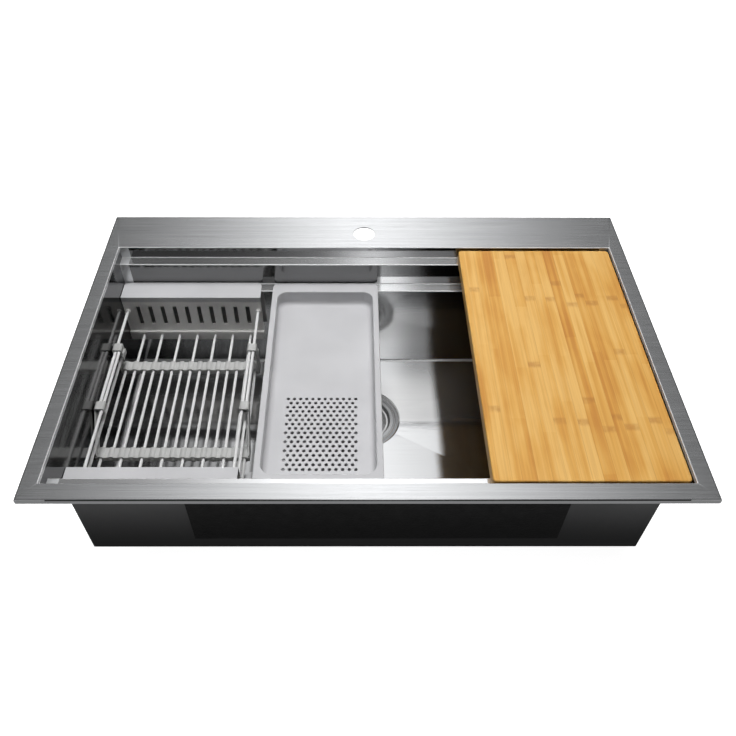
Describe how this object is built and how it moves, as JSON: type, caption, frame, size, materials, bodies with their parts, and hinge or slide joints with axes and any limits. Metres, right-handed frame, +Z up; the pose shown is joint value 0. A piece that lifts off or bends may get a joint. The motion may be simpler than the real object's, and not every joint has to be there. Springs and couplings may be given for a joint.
{
  "type": "workstation kitchen sink",
  "caption": "Drop-in steel kitchen sink with stepped ledges, a sliding bamboo board, a colander, an adjustable dish rack and a basket strainer.",
  "frame": {"origin": "middle of the deck's outline, at the height of the worktop the deck rests on", "axes": "+X to the right along the deck, +Y to the rear (tap side), +Z up"},
  "size_m": [0.8382, 0.5588, 0.3039],
  "materials": {
    "deck_steel": "brushed along the deck",
    "bowl_steel": "fine brushed sheet",
    "bright_steel": "polished",
    "sound_pad": "granular matte",
    "black_rubber": "matte",
    "fibre": "matte",
    "bamboo": "sanded and oiled",
    "tray_plastic": "satin",
    "strip_plastic": "satin"
  },
  "bodies": {
    "sink": {"deck_flange": "deck_steel", "bowl_rear_wall": "bowl_steel", "bowl_front_wall": "bowl_steel", "bowl_left_wall": "bowl_steel", "bowl_right_wall": "bowl_steel", "bowl_floor": "bowl_steel", "clip_channels": "bowl_steel", "front_sound_pad": "sound_pad", "rear_sound_pad": "sound_pad", "side_sound_pads": "sound_pad", "floor_sound_pads": "sound_pad", "strainer_body": "bright_steel", "flange_gasket": "black_rubber", "floor_gasket": "black_rubber", "friction_ring": "fibre", "locknut": "bright_steel"},
    "strainer_basket": {"basket_cup": "bright_steel", "basket_stopper": "black_rubber", "basket_post": "bright_steel", "basket_knob": "bright_steel"},
    "board": {"cutting_board": "bamboo"},
    "drain_tray": {"colander": "tray_plastic"},
    "rack_rear_half": {"rack_rear_end": "tray_plastic", "rack_rear_rods": "bright_steel", "rack_front_strip": "strip_plastic"},
    "rack_front_half": {"rack_front_end": "tray_plastic", "rack_front_rods": "bright_steel", "rack_rear_strip": "strip_plastic"}
  },
  "joints": [
    {"name": "board_slide", "type": "slide", "parent": "sink", "child": "board", "axis": [1, 0, 0], "range_m": [-0.546, 0.0015]},
    {"name": "colander_slide", "type": "slide", "parent": "sink", "child": "drain_tray", "axis": [1, 0, 0], "range_m": [0, 0.3715]},
    {"name": "rack_slide", "type": "slide", "parent": "sink", "child": "rack_rear_half", "axis": [1, 0, 0], "range_m": [0, 0.016]},
    {"name": "rack_telescope", "type": "slide", "parent": "rack_rear_half", "child": "rack_front_half", "axis": [0, 1, 0], "range_m": [-0.004, 0.062]},
    {"name": "basket_lift", "type": "slide", "parent": "sink", "child": "strainer_basket", "axis": [0, 0, 1], "range_m": [0, 0.06]}
  ]
}
